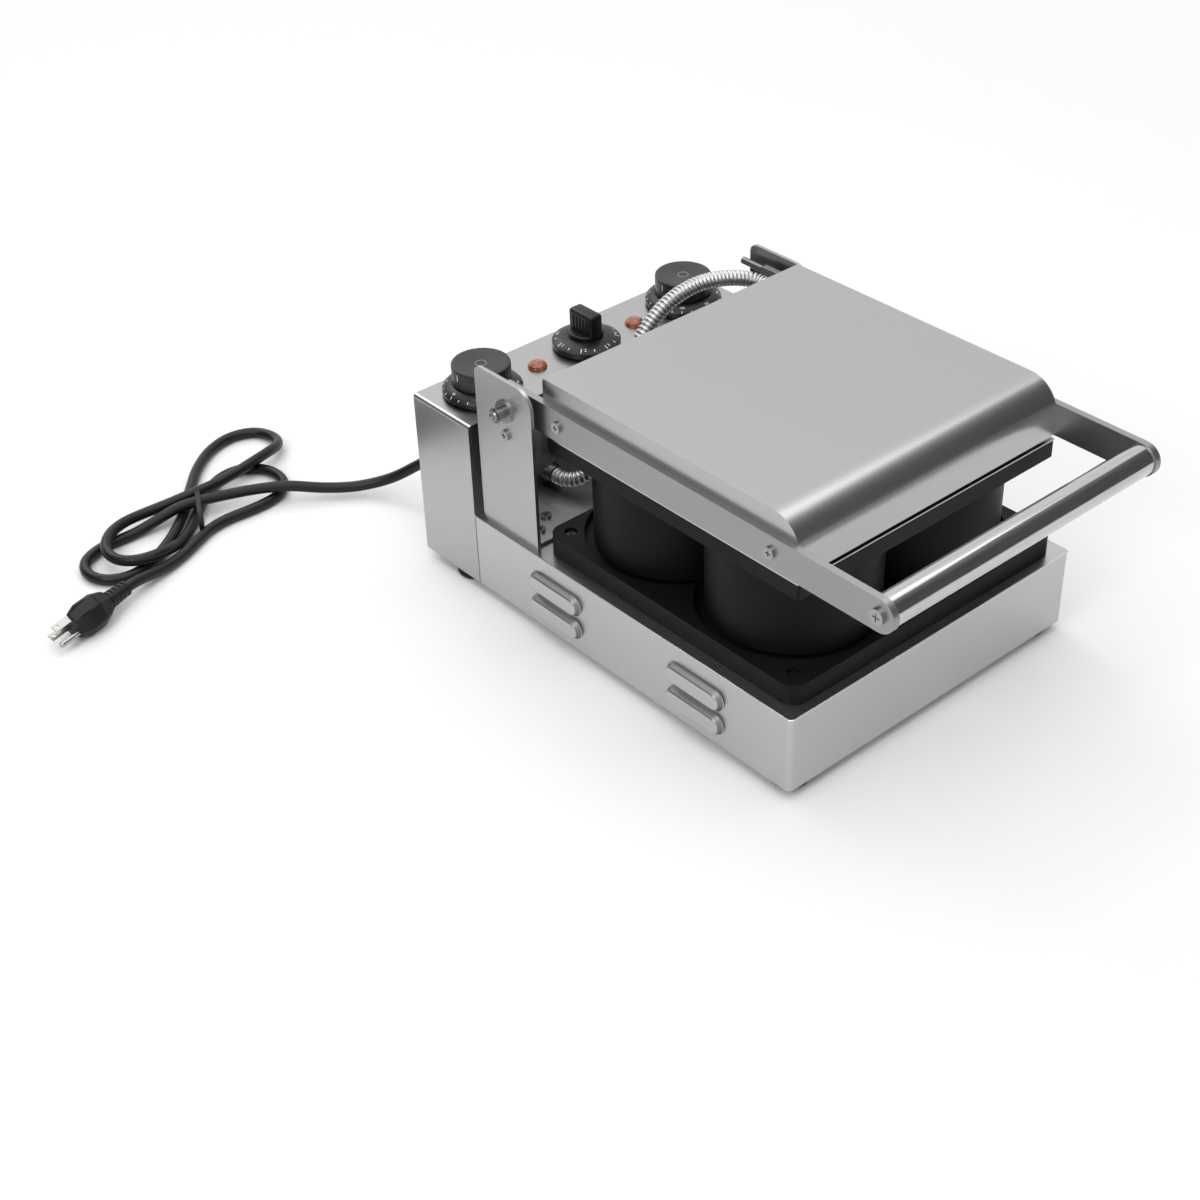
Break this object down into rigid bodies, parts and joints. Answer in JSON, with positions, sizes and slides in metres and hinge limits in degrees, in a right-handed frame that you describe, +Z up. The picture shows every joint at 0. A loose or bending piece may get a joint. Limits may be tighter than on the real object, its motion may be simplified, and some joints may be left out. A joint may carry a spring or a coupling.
{
  "type": "waffle bowl maker",
  "caption": "Countertop electric waffle bowl maker: a hinged stainless lid with round plungers closes on a dark cup mould, with dials on a rear housing and a corded plug.",
  "frame": {"origin": "on the standing surface, midway between the ends of the handle arms and the screws of the rear panel, on the centre line", "axes": "+X to the right and +Z up as the operator sees it; the operator and the handle are at -Y, the controls and the cord at +Y"},
  "size_m": [0.6038, 0.766, 0.2195],
  "materials": {
    "stainless": "brushed stainless sheet",
    "cast": "dark non-stick coated casting",
    "fasteners": "plain stainless",
    "handle": "polished tube",
    "rubber": "moulded rubber",
    "knob": "moulded black plastic",
    "bezel": "black dial skirt with a white scale",
    "lens": "amber lens",
    "switchgear": "moulded switch body",
    "heater": "heat-stained element sheath",
    "copper": "copper bulb",
    "hose": "strip-wound metal hose",
    "cord": "black rubber jacket",
    "blades": "nickel-plated blades"
  },
  "bodies": {
    "base": {"base_shell": "stainless", "deck": "stainless", "bottom_plate": "stainless", "foot_front_left": "rubber", "foot_front_right": "rubber", "foot_rear_left": "rubber", "foot_rear_right": "rubber", "foot_screws": "fasteners", "lower_mould": "cast", "mould_screws": "fasteners", "lower_heaters": "heater", "lower_shield": "stainless", "lower_probe": "copper", "control_housing": "stainless", "rear_panel": "stainless", "rear_panel_screws": "fasteners", "thermostat_left": "switchgear", "thermostat_right": "switchgear", "timer": "switchgear", "lamp_left": "lens", "lamp_right": "lens", "terminal_block": "switchgear", "bezel_left": "bezel", "bezel_middle": "bezel", "bezel_right": "bezel", "bracket_left": "stainless", "bracket_right": "stainless", "bracket_screws": "fasteners", "hinge_pin_left": "fasteners", "hinge_pin_right": "fasteners", "hinge_spacers": "fasteners", "hinge_washers": "fasteners", "pin_clips": "fasteners", "stop_bushes": "fasteners", "hose_gland_base": "fasteners", "cord_gland": "rubber", "cord_lead": "cord", "cord_hank": "cord", "cord_tie": "knob", "cord_tail": "cord", "plug_body": "cord", "plug_pins": "blades"},
    "lid": {"upper_mould": "cast", "upper_heaters": "heater", "lid_pan": "stainless", "lid_cover": "stainless", "arm_left": "stainless", "arm_right": "stainless", "arm_screws": "fasteners", "handle_tube": "handle", "handle_screws": "fasteners", "stop_rods": "fasteners", "hose_gland_lid": "fasteners", "metal_hose": "hose"},
    "thermostat_dial_left": {"knob_left": "knob", "shaft_left": "fasteners"},
    "timer_dial": {"knob_middle": "knob", "shaft_middle": "fasteners"},
    "thermostat_dial_right": {"knob_right": "knob", "shaft_right": "fasteners"}
  },
  "joints": [
    {"name": "lid_hinge", "type": "hinge", "parent": "base", "child": "lid", "pos_m": [0, 0.13285, 0.185], "axis": [-1, 0, 0], "range_deg": [0, 109], "deforming": ["metal_hose"]},
    {"name": "thermostat_left_turn", "type": "hinge", "parent": "base", "child": "thermostat_dial_left", "pos_m": [-0.1075, 0.21085, 0.154], "axis": [0, 0, -1], "range_deg": [0, 270]},
    {"name": "timer_turn", "type": "hinge", "parent": "base", "child": "timer_dial", "pos_m": [0, 0.21085, 0.154], "axis": [0, 0, -1], "range_deg": [0, 300]},
    {"name": "thermostat_right_turn", "type": "hinge", "parent": "base", "child": "thermostat_dial_right", "pos_m": [0.1075, 0.21085, 0.154], "axis": [0, 0, -1], "range_deg": [0, 270]}
  ]
}
